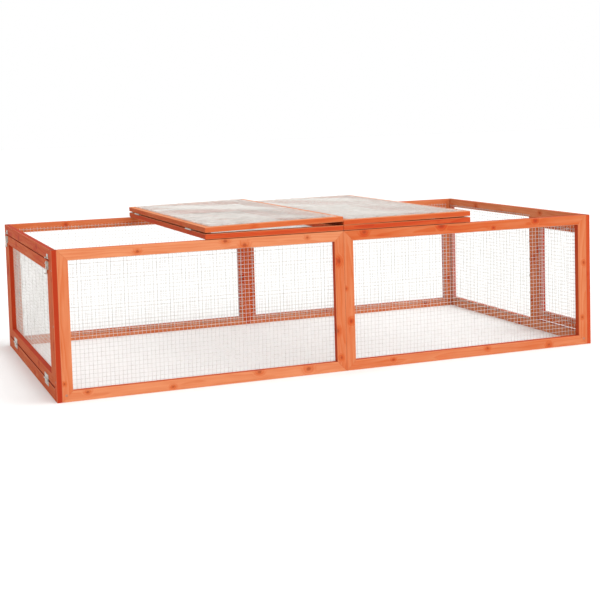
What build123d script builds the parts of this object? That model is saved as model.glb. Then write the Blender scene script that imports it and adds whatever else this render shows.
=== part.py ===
from build123d import *
import os
from math import asin, cos, degrees, radians, sin

# Outdoor rabbit run of stained fir slats and welded wire mesh, with two folding roof lids, a drop
# door in the left end and a small side door in the right end. Millimetres, +X right, +Y to the
# back, +Z up. The origin is on the ground, at the centre of the footprint.

# ---------------------------------------------------------------- overall sizes
length = 1850.0
depth = 1000.0
wall_height = 450.0

# ---------------------------------------------------------------- timber
slat_width = 32.0
wide_slat_width = 46.0
wall_slat_thickness = 21.0
end_slat_thickness = 16.0
roof_slat_thickness = 16.0
sill_height = 36.0              # bottom rail of each end wall
arris = 1.0                     # rounding of every long edge
joint_line = 0.2                # hairline left at each mitre and between frames

# ---------------------------------------------------------------- wire mesh, one flat sheet each
mesh_thickness = 1.7            # two crossing wires
mesh_edge_inset = 16.0          # from a frame's outer edge to the edge of its mesh
end_mesh_clearance = 1.0        # between the fixed mesh of the right end and the rear wall
mesh_seat = 0.3                 # between a roof sheet and the wall tops

# ---------------------------------------------------------------- roof
lid_end_inset = 7.5             # from the outer face to the end of a closed lid
lid_gap = 3.0                   # between a roof panel and its closed lid
roof_centre_gap = 1.0           # between the two middle panels, and between the folded lids
left_lid_open = 179.0           # degrees from closed to folded over, as this lid lies at rest
right_lid_tip_gap = 0.8         # between the folded right lid's tip and the panel under it
lid_hinge_front_inset = 180.0
lid_hinge_rear_inset = 132.0

# ---------------------------------------------------------------- doors
door_gap = 3.0
door_sill_gap = 6.0
left_hinge_inset = 172.0        # from the front and rear faces
right_door_width = 280.0
right_hinge_inset = 60.0        # from the door's top and bottom edges

# ---------------------------------------------------------------- butt hinges
hinge_length = 65.0
leaf_width = 17.0               # from the pin's axis
leaf_thickness = 1.2
pin_radius = 1.25
pin_clearance = 0.05
knuckle_radius = 2.4
knuckle_count = 5
knuckle_play = 0.3
knuckle_to_leaf = 0.4           # clear strip between the knuckles and a leaf's plate
hinge_height = 2.2              # from the timber's face to the pin's axis
leaf_hole_pitch = 44.0
leaf_hole_offset = 10.5         # from the pin's axis

# ---------------------------------------------------------------- slide bolts
bolt_edge_inset = 15.0          # from the door's edge to the plate's centre
bolt_corner_inset = 65.0        # of the left door's bolts, from the front and rear faces
plate_length = 24.0
plate_width = 26.0
plate_thickness = 1.2
guide_offset = 7.0
guide_length = 4.0
guide_width = 8.6
guide_height = 6.6
rod_radius = 2.5
rod_clearance = 0.3
rod_height = 4.2                # from the timber's face to the rod's axis
rod_tail = 26.0                 # from the plate's centre, drawn back
rod_tip = 13.0
knob_radius = 2.0
knob_offset = 23.0
knob_reach = 11.0
keeper_start = 20.0
keeper_length = 14.0
keeper_loop_offset = 24.0
keeper_hole_offset = 30.5
plate_hole_spread = 18.0

# ---------------------------------------------------------------- wood screws
screw_head_radius = 2.8
screw_head_depth = 1.1
screw_shank_radius = 1.4
screw_length = 12.0
screw_hole_clearance = 0.1
frame_head_radius = 3.4
frame_head_depth = 1.8
frame_shank_radius = 1.8
frame_screw_length = 36.0
frame_head_proud = 0.3
frame_screw_inset = 60.0        # of the lowest and highest screws in a corner post
corner_screw_inset = 12.0       # of the screw at the foot of an outer stile, from its outer edge
corner_screw_height = 20.0

# ---------------------------------------------------------------- worked-out places
half_length = length / 2
half_depth = depth / 2
wall_end = half_length - end_slat_thickness      # where the long walls meet the end walls
wall_frame_width = wall_end - joint_line
roof_base = wall_height + mesh_seat + mesh_thickness
roof_top = roof_base + roof_slat_thickness
panel_length = (half_length - lid_end_inset - lid_gap - roof_centre_gap / 2) / 2
lid_axis_x = roof_centre_gap / 2 + panel_length + lid_gap / 2
lid_axis_z = roof_top + hinge_height
lid_reach = lid_gap / 2 + panel_length           # from a lid's pin to its tip
right_lid_open = 180 + degrees(asin((2 * hinge_height - right_lid_tip_gap) / lid_reach))
mesh_trim = 2 * mesh_edge_inset                  # from a frame's size to the size of its mesh
end_mesh_overlap = slat_width - wall_slat_thickness - end_mesh_clearance
leaf_start = knuckle_radius + knuckle_to_leaf
door_bottom = sill_height + door_sill_gap
door_top = wall_height - slat_width - door_gap
door_height = door_top - door_bottom
door_middle_z = (door_top + door_bottom) / 2
door_edge_y = half_depth - slat_width - door_gap             # beside a corner post
left_door_width = 2 * door_edge_y
right_door_rear_y = right_door_width - door_edge_y
mid_post_y = right_door_rear_y + door_gap
left_axis_z = sill_height + door_sill_gap / 2
right_axis_y = right_door_rear_y + door_gap / 2

os.makedirs("parts", exist_ok=True)


def save(piece, name):
    """Label a finished piece and write it as its own STEP file."""
    piece.part.label = name
    export_step(piece.part, f"parts/{name}.step")


# ================================================================ timber
def edge_plane(face, turn, reach):
    """The face's plane moved out by reach and turned, so that its y points back to the middle.
    A turn of 0 is the bottom edge, 90 the right, 180 the top and 270 the left."""
    along = face.x_dir * cos(radians(turn)) + face.y_dir * sin(radians(turn))
    inward = face.z_dir.cross(along)
    return Plane(origin=face.origin - inward * reach, x_dir=along, z_dir=face.z_dir)


def mitred_outline(span, width, next_width):
    """Corners of a slat whose outer edge is span long and whose ends meet slats of next_width."""
    outer = span / 2 - joint_line
    inner = outer - next_width
    return (-outer, 0), (outer, 0), (inner, width), (-inner, width)


def mitred_slat(edge, span, width, thickness):
    """One slat of a mitred frame; edge is the plane at the middle of its outer edge."""
    with BuildPart() as slat:
        with BuildSketch(edge):
            Polygon(*mitred_outline(span, width, width))
        extrude(amount=thickness)
        fillet(slat.edges().filter_by(Axis(edge.origin, edge.x_dir)), arris)
    return slat


def mitred_frame(face, width, height, rail, stile, thickness):
    """Four mitred slats round a window, as four solids; face is the plane at the middle."""
    with BuildPart() as frame:
        for turn in (0, 180):
            with BuildSketch(edge_plane(face, turn, height / 2)):
                Polygon(*mitred_outline(width, rail, stile))
            extrude(amount=thickness)
        for turn in (90, 270):
            with BuildSketch(edge_plane(face, turn, width / 2)):
                Polygon(*mitred_outline(height, stile, rail))
            extrude(amount=thickness)
        fillet(frame.edges().filter_by(Axis(face.origin, face.x_dir)), arris)
        fillet(frame.edges().filter_by(Axis(face.origin, face.y_dir)), arris)
    return frame


def board(low, high, grain):
    """A square-ended slat between two corners, with the edges along its grain rounded."""
    size = [b - a for a, b in zip(low, high)]
    with BuildPart() as piece:
        with Locations(low):
            Box(*size, align=(Align.MIN, Align.MIN, Align.MIN))
        fillet(piece.edges().filter_by(grain), arris)
    return piece


# ---------------------------------------------------------------- long walls
def long_wall(wall, outer_y):
    """Two mitred frames side by side; each slat is a piece of its own."""
    for side, sign in (("left", -1), ("right", 1)):
        centre_x = sign * (wall_end + joint_line) / 2
        face = Plane(origin=(centre_x, outer_y, wall_height / 2), x_dir=(1, 0, 0), z_dir=(0, -1, 0))
        outer_turn, inner_turn = (270, 90) if sign < 0 else (90, 270)
        for name, turn, span, reach in (
            ("bottom_rail", 0, wall_frame_width, wall_height / 2),
            ("top_rail", 180, wall_frame_width, wall_height / 2),
            ("outer_stile", outer_turn, wall_height, wall_frame_width / 2),
            ("inner_stile", inner_turn, wall_height, wall_frame_width / 2),
        ):
            slat = mitred_slat(edge_plane(face, turn, reach), span, slat_width, wall_slat_thickness)
            save(slat, f"{wall}_{side}_{name}")


long_wall("front", -half_depth + wall_slat_thickness)
long_wall("rear", half_depth)


# ---------------------------------------------------------------- end walls
def end_wall(side, outer_x, inner_x):
    """Two full-height corner posts with a top rail and a sill between them."""
    low_x, high_x = sorted((outer_x, inner_x))
    post_y = half_depth - slat_width
    rail_y = post_y - joint_line
    front = board((low_x, -half_depth, 0), (high_x, -post_y, wall_height), Axis.Z)
    save(front, f"{side}_end_front_post")
    rear = board((low_x, post_y, 0), (high_x, half_depth, wall_height), Axis.Z)
    save(rear, f"{side}_end_rear_post")
    top_z = wall_height - slat_width
    top = board((low_x, -rail_y, top_z), (high_x, rail_y, wall_height), Axis.Y)
    save(top, f"{side}_end_top_rail")
    sill = board((low_x, -rail_y, 0), (high_x, rail_y, sill_height), Axis.Y)
    save(sill, f"{side}_end_bottom_rail")


end_wall("left", -half_length, -wall_end)
end_wall("right", half_length, wall_end)

mid_post = board(
    (wall_end, mid_post_y, sill_height + joint_line),
    (half_length, mid_post_y + wide_slat_width, wall_height - slat_width - joint_line),
    Axis.Z,
)
save(mid_post, "right_end_mid_post")


# ================================================================ hinge places
def hinge_plane(origin, to_moving, outward):
    """A hinge's own plane: x towards the moving leaf when closed, y away from the timber's face,
    z along the pin. The moving leaf opens from x towards y."""
    return Plane(origin=origin, x_dir=to_moving, z_dir=Vector(*to_moving).cross(Vector(*outward)))


def opened(plane, angle):
    """A hinge's plane turned about its pin, as its moving leaf stands when open by angle."""
    x_dir = plane.x_dir * cos(radians(angle)) + plane.y_dir * sin(radians(angle))
    return Plane(origin=plane.origin, x_dir=x_dir, z_dir=plane.z_dir)


left_lid_axis = hinge_plane((-lid_axis_x, 0, lid_axis_z), (-1, 0, 0), (0, 0, 1))
right_lid_axis = hinge_plane((lid_axis_x, 0, lid_axis_z), (1, 0, 0), (0, 0, 1))
left_door_axis = hinge_plane((-half_length - hinge_height, 0, left_axis_z), (0, 0, 1), (-1, 0, 0))
right_door_axis = hinge_plane(
    (half_length + hinge_height, right_axis_y, door_middle_z), (0, -1, 0), (1, 0, 0)
)

front_y = -half_depth + lid_hinge_front_inset
rear_y = half_depth - lid_hinge_rear_inset
left_lid_hinges = [left_lid_axis.offset(y) for y in (front_y, rear_y)]
right_lid_hinges = [right_lid_axis.offset(-y) for y in (front_y, rear_y)]
left_spread = half_depth - left_hinge_inset
left_door_hinges = [left_door_axis.offset(s) for s in (-left_spread, left_spread)]
right_spread = door_height / 2 - right_hinge_inset
right_door_hinges = [right_door_axis.offset(s) for s in (-right_spread, right_spread)]
all_hinges = left_lid_hinges + right_lid_hinges + left_door_hinges + right_door_hinges

left_lid_plane = opened(left_lid_axis, left_lid_open)
right_lid_plane = opened(right_lid_axis, right_lid_open)
left_lid_leaves = [opened(hinge, left_lid_open) for hinge in left_lid_hinges]
right_lid_leaves = [opened(hinge, right_lid_open) for hinge in right_lid_hinges]


# ================================================================ roof and doors
def roof_frame(face):
    return mitred_frame(face, panel_length, depth, slat_width, slat_width, roof_slat_thickness)


def mesh_sheet(face, width, height):
    """A flat sheet that hangs below its face plane."""
    with BuildPart() as sheet:
        with BuildSketch(face):
            Rectangle(width, height)
        extrude(amount=-mesh_thickness)
    return sheet


sheet_length = panel_length - mesh_trim
sheet_depth = depth - mesh_trim

for side, sign in (("left", -1), ("right", 1)):
    panel_x = sign * (roof_centre_gap + panel_length) / 2
    panel_face = Plane(origin=(panel_x, 0, roof_base), x_dir=(1, 0, 0), z_dir=(0, 0, 1))
    save(roof_frame(panel_face), f"roof_{side}_panel_frame")
    save(mesh_sheet(panel_face, sheet_length, sheet_depth), f"roof_{side}_panel_mesh")

for side, plane in (("left", left_lid_plane), ("right", right_lid_plane)):
    out = lid_gap / 2 + panel_length / 2
    under = hinge_height + roof_slat_thickness
    lid_centre = plane.origin + plane.x_dir * out - plane.y_dir * under
    lid_face = Plane(origin=lid_centre, x_dir=plane.x_dir, z_dir=plane.y_dir)
    save(roof_frame(lid_face), f"{side}_lid_frame")
    save(mesh_sheet(lid_face, sheet_length, sheet_depth), f"{side}_lid_mesh")

left_door_face = Plane(origin=(-wall_end, 0, door_middle_z), x_dir=(0, -1, 0), z_dir=(-1, 0, 0))
left_door = mitred_frame(
    left_door_face, left_door_width, door_height, slat_width, wide_slat_width, end_slat_thickness
)
save(left_door, "left_door_frame")
left_door_sheet = mesh_sheet(
    left_door_face,
    left_door_width - mesh_trim - 2 * (wide_slat_width - slat_width),
    door_height - mesh_trim,
)
save(left_door_sheet, "left_door_mesh")

right_door_y = (right_door_rear_y - door_edge_y) / 2
right_door_face = Plane(
    origin=(wall_end, right_door_y, door_middle_z), x_dir=(0, 1, 0), z_dir=(1, 0, 0)
)
right_door = mitred_frame(
    right_door_face, right_door_width, door_height, slat_width, slat_width, end_slat_thickness
)
save(right_door, "right_door_frame")
right_door_sheet = mesh_sheet(
    right_door_face, right_door_width - mesh_trim, door_height - mesh_trim
)
save(right_door_sheet, "right_door_mesh")

# ---------------------------------------------------------------- mesh of the walls
wall_sheet_width = wall_frame_width - mesh_trim
wall_sheet_height = wall_height - mesh_trim
for side, sign in (("left", -1), ("right", 1)):
    sheet_x = sign * (wall_end + joint_line) / 2
    front_face = Plane(
        origin=(sheet_x, -half_depth + wall_slat_thickness, wall_height / 2),
        x_dir=(1, 0, 0),
        z_dir=(0, -1, 0),
    )
    rear_face = Plane(
        origin=(sheet_x, half_depth - wall_slat_thickness, wall_height / 2),
        x_dir=(-1, 0, 0),
        z_dir=(0, 1, 0),
    )
    save(mesh_sheet(front_face, wall_sheet_width, wall_sheet_height), f"front_{side}_mesh")
    save(mesh_sheet(rear_face, wall_sheet_width, wall_sheet_height), f"rear_{side}_mesh")

end_window_front = mid_post_y + wide_slat_width
end_window_rear = half_depth - slat_width
end_window_face = Plane(
    origin=(
        wall_end,
        (end_window_front + end_window_rear) / 2,
        (sill_height + wall_height - slat_width) / 2,
    ),
    x_dir=(0, 1, 0),
    z_dir=(1, 0, 0),
)
end_sheet = mesh_sheet(
    end_window_face,
    end_window_rear - end_window_front + 2 * end_mesh_overlap,
    wall_height - slat_width - sill_height + 2 * end_mesh_overlap,
)
save(end_sheet, "right_end_mesh")

# ================================================================ butt hinges
knuckle_length = hinge_length / knuckle_count
leaf_outer = -hinge_height + leaf_thickness      # height of a leaf's outer surface


def hinge_leaves(planes, side, first_knuckle):
    """One leaf for each plane: a plate on the timber, every second knuckle and two screw holes.
    side is 1 for the leaf on the plane's x side and -1 for the other."""
    plate_middle = side * (leaf_start + leaf_width) / 2
    tab_middle = side * leaf_start / 2
    with BuildPart() as leaves:
        for plane in planes:
            with BuildSketch(plane.offset(-hinge_length / 2)):
                with Locations((plate_middle, leaf_outer - leaf_thickness / 2)):
                    Rectangle(leaf_width - leaf_start, leaf_thickness)
            extrude(amount=hinge_length)
            for number in range(first_knuckle, knuckle_count, 2):
                start = -hinge_length / 2 + number * knuckle_length + knuckle_play / 2
                with BuildSketch(plane.offset(start)):
                    Circle(knuckle_radius)
                    with Locations((tab_middle, leaf_outer - leaf_thickness / 2)):
                        Rectangle(leaf_start, leaf_thickness)
                    Circle(pin_radius + pin_clearance, mode=Mode.SUBTRACT)
                extrude(amount=knuckle_length - knuckle_play)
            with Locations(*leaf_holes(plane, side)):
                CounterSinkHole(
                    radius=screw_shank_radius + screw_hole_clearance,
                    counter_sink_radius=screw_head_radius + screw_hole_clearance,
                    depth=2 * leaf_thickness,
                    counter_sink_angle=90,
                )
    return leaves


def leaf_holes(plane, side):
    """Planes at the outer ends of a leaf's two screw holes, z away from the timber."""
    places = []
    for along in (-leaf_hole_pitch / 2, leaf_hole_pitch / 2):
        origin = (
            plane.origin
            + plane.x_dir * side * leaf_hole_offset
            + plane.y_dir * leaf_outer
            + plane.z_dir * along
        )
        places.append(Plane(origin=origin, x_dir=plane.x_dir, z_dir=plane.y_dir))
    return places


save(hinge_leaves(all_hinges, -1, 0), "fixed_hinge_leaves")
save(hinge_leaves(left_lid_leaves, 1, 1), "left_lid_hinge_leaves")
save(hinge_leaves(right_lid_leaves, 1, 1), "right_lid_hinge_leaves")
save(hinge_leaves(left_door_hinges, 1, 1), "left_door_hinge_leaves")
save(hinge_leaves(right_door_hinges, 1, 1), "right_door_hinge_leaves")

with BuildPart() as pins:
    for plane in all_hinges:
        with BuildSketch(plane.offset(-hinge_length / 2)):
            Circle(pin_radius)
        extrude(amount=hinge_length)
save(pins, "hinge_pins")

# ================================================================ slide bolts
# A bolt's plane has its origin on the timber at the plate's centre, x along the throw and z outwards.
bolt_z = door_top - bolt_edge_inset
bolt_spread = half_depth - bolt_corner_inset
left_front_bolt = Plane(
    origin=(-half_length, -bolt_spread, bolt_z), x_dir=(0, 0, 1), z_dir=(-1, 0, 0)
)
left_rear_bolt = Plane(
    origin=(-half_length, bolt_spread, bolt_z), x_dir=(0, 0, 1), z_dir=(-1, 0, 0)
)
right_bolt = Plane(
    origin=(half_length, -door_edge_y + bolt_edge_inset, door_middle_z),
    x_dir=(0, -1, 0),
    z_dir=(1, 0, 0),
)
all_bolts = [left_front_bolt, left_rear_bolt, right_bolt]


def hole_places(bolt, along):
    """Planes at the two screw holes of a bolt plate, on its outer surface."""
    places = []
    for across in (-plate_hole_spread / 2, plate_hole_spread / 2):
        origin = (
            bolt.origin
            + bolt.x_dir * along
            + bolt.y_dir * across
            + bolt.z_dir * plate_thickness
        )
        places.append(Plane(origin=origin, x_dir=bolt.x_dir, z_dir=bolt.z_dir))
    return places


def bolt_fittings(bolts, middle, size, guides, hole_at):
    """A screwed plate for each bolt, with square guides that are bored for the rod."""
    with BuildPart() as fittings:
        for bolt in bolts:
            with BuildSketch(bolt):
                with Locations((middle, 0)):
                    Rectangle(size, plate_width)
            extrude(amount=plate_thickness)
            with BuildSketch(bolt.offset(plate_thickness)):
                for guide in guides:
                    with Locations((guide, 0)):
                        Rectangle(guide_length, guide_width)
            extrude(amount=guide_height)
            for guide in guides:
                start = bolt.origin + bolt.x_dir * (guide - guide_length) + bolt.z_dir * rod_height
                bore = Plane(origin=start, x_dir=bolt.y_dir, z_dir=bolt.x_dir)
                with BuildSketch(bore):
                    Circle(rod_radius + rod_clearance)
                extrude(amount=2 * guide_length, mode=Mode.SUBTRACT)
            with Locations(*hole_places(bolt, hole_at)):
                CounterSinkHole(
                    radius=screw_shank_radius + screw_hole_clearance,
                    counter_sink_radius=screw_head_radius + screw_hole_clearance,
                    depth=2 * plate_thickness,
                    counter_sink_angle=90,
                )
    return fittings


def bolt_rod(bolt):
    """The rod, drawn back, with a knob that stands out from the door."""
    start = bolt.origin - bolt.x_dir * rod_tail + bolt.z_dir * rod_height
    knob = bolt.origin - bolt.x_dir * knob_offset + bolt.z_dir * rod_height
    with BuildPart() as rod:
        with BuildSketch(Plane(origin=start, x_dir=bolt.y_dir, z_dir=bolt.x_dir)):
            Circle(rod_radius)
        extrude(amount=rod_tail + rod_tip)
        with BuildSketch(Plane(origin=knob, x_dir=bolt.x_dir, z_dir=bolt.z_dir)):
            Circle(knob_radius)
        extrude(amount=knob_reach - rod_height)
    return rod


guides = (-guide_offset, guide_offset)
keeper_middle = keeper_start + keeper_length / 2
left_bolts = [left_front_bolt, left_rear_bolt]
save(bolt_fittings(left_bolts, 0, plate_length, guides, 0), "left_door_bolt_plates")
save(bolt_fittings([right_bolt], 0, plate_length, guides, 0), "right_door_bolt_plate")
keepers = bolt_fittings(
    all_bolts, keeper_middle, keeper_length, (keeper_loop_offset,), keeper_hole_offset
)
save(keepers, "bolt_keepers")
save(bolt_rod(left_front_bolt), "left_front_bolt_rod")
save(bolt_rod(left_rear_bolt), "left_rear_bolt_rod")
save(bolt_rod(right_bolt), "right_bolt_rod")


# ================================================================ wood screws
def screws(places, head_radius, head_depth, shank_radius, reach):
    """Countersunk screws; each place is a plane on the head's top, z outwards."""
    with BuildPart() as group:
        with Locations(*places):
            Cone(
                bottom_radius=shank_radius,
                top_radius=head_radius,
                height=head_depth,
                align=(Align.CENTER, Align.CENTER, Align.MAX),
            )
        with Locations(*[place.offset(-head_depth) for place in places]):
            Cylinder(shank_radius, reach, align=(Align.CENTER, Align.CENTER, Align.MAX))
    return group


def fitting_screws(places):
    return screws(
        places, screw_head_radius, screw_head_depth, screw_shank_radius, screw_length
    )


def leaf_screw_places(planes, side):
    return [place for plane in planes for place in leaf_holes(plane, side)]


def plate_screw_places(bolts, along):
    return [place for bolt in bolts for place in hole_places(bolt, along)]


fixed_places = leaf_screw_places(all_hinges, -1) + plate_screw_places(all_bolts, keeper_hole_offset)
left_door_places = leaf_screw_places(left_door_hinges, 1) + plate_screw_places(left_bolts, 0)
right_door_places = leaf_screw_places(right_door_hinges, 1) + plate_screw_places([right_bolt], 0)
save(fitting_screws(fixed_places), "fixed_fitting_screws")
save(fitting_screws(leaf_screw_places(left_lid_leaves, 1)), "left_lid_screws")
save(fitting_screws(leaf_screw_places(right_lid_leaves, 1)), "right_lid_screws")
save(fitting_screws(left_door_places), "left_door_screws")
save(fitting_screws(right_door_places), "right_door_screws")

# Screws through the end posts into the long walls, three up each corner, and one on the face of
# each outer bottom corner.
post_places = []
corner_places = []
wall_middle_y = half_depth - wall_slat_thickness / 2
for x_sign in (-1, 1):
    for y_sign in (-1, 1):
        for z in (frame_screw_inset, wall_height / 2, wall_height - frame_screw_inset):
            head = (x_sign * (half_length + frame_head_proud), y_sign * wall_middle_y, z)
            post_places.append(Plane(origin=head, x_dir=(0, 1, 0), z_dir=(x_sign, 0, 0)))
        head = (
            x_sign * (wall_end - corner_screw_inset),
            y_sign * (half_depth + frame_head_proud),
            corner_screw_height,
        )
        corner_places.append(Plane(origin=head, x_dir=(1, 0, 0), z_dir=(0, y_sign, 0)))
frame_head = (frame_head_radius, frame_head_depth, frame_shank_radius)
post_screws = screws(post_places, *frame_head, frame_screw_length)
corner_screws = screws(corner_places, *frame_head, screw_length)
with BuildPart() as frame_screws:
    add(post_screws.part)
    add(corner_screws.part)
save(frame_screws, "frame_screws")
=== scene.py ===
import bmesh
import bpy
import math
import numpy as np
from mathutils import Euler, Matrix, Vector


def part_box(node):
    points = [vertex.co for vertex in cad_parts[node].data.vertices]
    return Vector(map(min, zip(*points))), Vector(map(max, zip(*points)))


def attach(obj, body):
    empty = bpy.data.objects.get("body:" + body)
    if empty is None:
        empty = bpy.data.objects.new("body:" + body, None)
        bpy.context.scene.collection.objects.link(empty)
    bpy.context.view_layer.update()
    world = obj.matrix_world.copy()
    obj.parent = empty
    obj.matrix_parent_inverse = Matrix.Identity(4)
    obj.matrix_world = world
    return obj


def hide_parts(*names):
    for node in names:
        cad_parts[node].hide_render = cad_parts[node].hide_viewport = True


# An outdoor rabbit run: stained fir slats, welded wire mesh, zinc hinges and slide bolts.
# Sizes are in millimetres where a name ends in _mm, and in metres elsewhere.

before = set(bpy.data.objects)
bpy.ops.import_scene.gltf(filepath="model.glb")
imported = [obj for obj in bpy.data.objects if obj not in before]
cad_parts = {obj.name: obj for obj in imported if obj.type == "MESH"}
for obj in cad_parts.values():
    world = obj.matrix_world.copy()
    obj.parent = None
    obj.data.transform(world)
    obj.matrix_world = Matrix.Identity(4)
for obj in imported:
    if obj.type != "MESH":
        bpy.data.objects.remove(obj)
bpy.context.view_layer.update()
MM = 0.001

# ================================================================ sizes
slat_width_mm = 32.0
wide_slat_width_mm = 46.0
wall_slat_thickness_mm = 21.0
end_slat_thickness_mm = 16.0
sill_height_mm = 36.0

mesh_pitch = 12.7 * MM           # half-inch welded mesh
wire_radius = 0.5 * MM           # over the zinc
wire_sides = 6
wire_jitter = 0.07 * MM          # sideways, at each crossing
wire_shift = 0.10 * MM           # sideways, of a whole wire
mesh_edge_inset_mm = 16.0        # from a frame's outer edge to the edge of its mesh
mesh_seat = 16.0 * MM            # how far in from its edge the mesh lies on the wood
mesh_fade = 70.0 * MM            # from there to where its waves have their full height

staple_inset = 8.0 * MM          # from the edge of the mesh to the staples
staple_spacing = 62.0 * MM
staple_crown = 9.0 * MM
staple_leg = 6.0 * MM
staple_half_width = 0.55 * MM
staple_thickness = 0.6 * MM
staple_stray = 6.0 * MM          # along the edge, either way
staple_swing = 0.09              # radians

# Rails and stiles of a frame take their grain from far apart places along x, so that no two of
# the four slats match.
rail_shift_mm = 2300.0
stile_shift_mm = 5100.0


# ================================================================ shared helpers
def linear(colour):
    """An sRGB hex colour as linear RGBA: each channel c is c / 12.92 in the dark toe and
    ((c + 0.055) / 1.055) to the power 2.4 above it."""
    channels = [int(colour[i:i + 2], 16) / 255 for i in (0, 2, 4)]
    return [c / 12.92 if c < 0.04045 else ((c + 0.055) / 1.055) ** 2.4 for c in channels] + [1.0]


def add(tree, kind, inputs=None, **settings):
    """Add a node. Inputs gives each socket's value, or the output that feeds it."""
    made = tree.nodes.new(kind)
    for name, value in settings.items():
        setattr(made, name, value)
    for name, value in (inputs or {}).items():
        if isinstance(value, bpy.types.NodeSocket):
            tree.links.new(value, made.inputs[name])
        else:
            made.inputs[name].default_value = value
    return made


def new_material(name):
    """An empty node material, its tree and its Principled shader, already joined to the output."""
    material = bpy.data.materials.new(name)
    material.use_nodes = True
    tree = material.node_tree
    tree.nodes.clear()
    shader = add(tree, "ShaderNodeBsdfPrincipled")
    add(tree, "ShaderNodeOutputMaterial", {"Surface": shader.outputs[0]})
    return material, tree, shader


def new_piece(name, points, faces, material, body, smooth=False):
    """A mesh object at the origin, from arrays of points and of faces with one corner count."""
    mesh = bpy.data.meshes.new(name)
    points = np.asarray(points, np.float32)
    faces = np.asarray(faces, np.int32)
    corners = faces.shape[1]
    mesh.vertices.add(len(points))
    mesh.vertices.foreach_set("co", points.ravel())
    mesh.loops.add(faces.size)
    mesh.loops.foreach_set("vertex_index", faces.ravel())
    mesh.polygons.add(len(faces))
    mesh.polygons.foreach_set("loop_start", np.arange(len(faces), dtype=np.int32) * corners)
    mesh.polygons.foreach_set("use_smooth", np.full(len(faces), smooth))
    mesh.update(calc_edges=True)
    mesh.materials.append(material)
    piece = bpy.data.objects.new(name, mesh)
    bpy.context.scene.collection.objects.link(piece)
    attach(piece, body)
    return piece


def node_points(node):
    """The distinct corners of a CAD node, and its triangles as indices of them."""
    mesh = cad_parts[node].data
    co = np.empty(len(mesh.vertices) * 3)
    mesh.vertices.foreach_get("co", co)
    corners = np.empty(len(mesh.loops), np.int64)
    mesh.loops.foreach_get("vertex_index", corners)
    _, first, inverse = np.unique(
        np.round(co.reshape(-1, 3), 6), axis=0, return_index=True, return_inverse=True
    )
    return co.reshape(-1, 3)[first], inverse.reshape(-1)[corners].reshape(-1, 3)


def node_solids(node):
    """The corners of each separate solid of a CAD node: every corner takes the lowest label
    that reaches it across triangles, until no label changes."""
    points, triangles = node_points(node)
    label = np.arange(len(points))
    while True:
        before = label.copy()
        lowest = label[triangles].min(axis=1)
        for corner in range(3):
            np.minimum.at(label, triangles[:, corner], lowest)
        label = label[label]
        if np.array_equal(label, before):
            break
    return [points[label == value] for value in np.unique(label)]


# ================================================================ stained fir
# The pattern is a solid one, as in a real slat. Local x runs along the grain, y across the face
# and z out of it, in millimetres from the slat's centre.
ring_spacing_mm = 3.6
ring_swing_mm = 7.0              # how far the rings swing out round a knot
log_drift_mm = 15.0              # how far the pith line wanders
arris_mm = (1.6, 0.4)            # where the pale band of rubbed stain and painted highlight starts and is full, from the arris
knot_grit_mm = 7.0               # the size of the noise that makes a knot's edge ragged


def slat_of_frame(tree, point, facing, frame_mm):
    """In a frame of four slats, a point in the axes of the slat that it is in, with the mitre as
    the border, and how far it faces along the grain and across the slat. Frame_mm has the frame's
    half sizes, then the widths of its stiles and rails."""
    half_u, half_v, stile, rail = frame_mm
    flat = add(tree, "ShaderNodeSeparateXYZ", {0: point})
    away = add(tree, "ShaderNodeVectorMath", {0: point}, operation="ABSOLUTE")
    side = add(tree, "ShaderNodeVectorMath", {0: point}, operation="SIGN")
    far = add(tree, "ShaderNodeSeparateXYZ", {0: away.outputs[0]})
    sign = add(tree, "ShaderNodeSeparateXYZ", {0: side.outputs[0]})
    mitre = add(tree, "ShaderNodeVectorMath", {
        0: away.outputs[0],
        1: (rail, -stile, 0.0),
    }, operation="DOT_PRODUCT")
    in_stile = add(tree, "ShaderNodeMath", {
        0: mitre.outputs["Value"],
        1: half_u * rail - half_v * stile,
    }, operation="GREATER_THAN")
    rail_y = add(tree, "ShaderNodeMath", {
        0: far.outputs[1],
        1: half_v - rail / 2,
    }, operation="SUBTRACT")
    stile_y = add(tree, "ShaderNodeMath", {
        0: far.outputs[0],
        1: half_u - stile / 2,
    }, operation="SUBTRACT")
    rail_x = add(tree, "ShaderNodeMath", {
        0: sign.outputs[1],
        1: rail_shift_mm,
        2: flat.outputs[0],
    }, operation="MULTIPLY_ADD")
    stile_x = add(tree, "ShaderNodeMath", {
        0: sign.outputs[0],
        1: stile_shift_mm,
        2: flat.outputs[1],
    }, operation="MULTIPLY_ADD")
    rail_point = add(tree, "ShaderNodeCombineXYZ", {
        0: rail_x.outputs[0],
        1: rail_y.outputs[0],
        2: flat.outputs[2],
    })
    stile_point = add(tree, "ShaderNodeCombineXYZ", {
        0: stile_x.outputs[0],
        1: stile_y.outputs[0],
        2: flat.outputs[2],
    })
    chosen = add(tree, "ShaderNodeMix", {
        "Factor": in_stile.outputs[0],
        4: rail_point.outputs[0],
        5: stile_point.outputs[0],
    }, data_type="VECTOR")
    grain_facing = add(tree, "ShaderNodeMix", {
        "Factor": in_stile.outputs[0],
        2: facing.outputs[0],
        3: facing.outputs[1],
    }, data_type="FLOAT")
    edge_facing = add(tree, "ShaderNodeMix", {
        "Factor": in_stile.outputs[0],
        2: facing.outputs[1],
        3: facing.outputs[0],
    }, data_type="FLOAT")
    return chosen.outputs[1], grain_facing.outputs[0], edge_facing.outputs[0]


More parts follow.
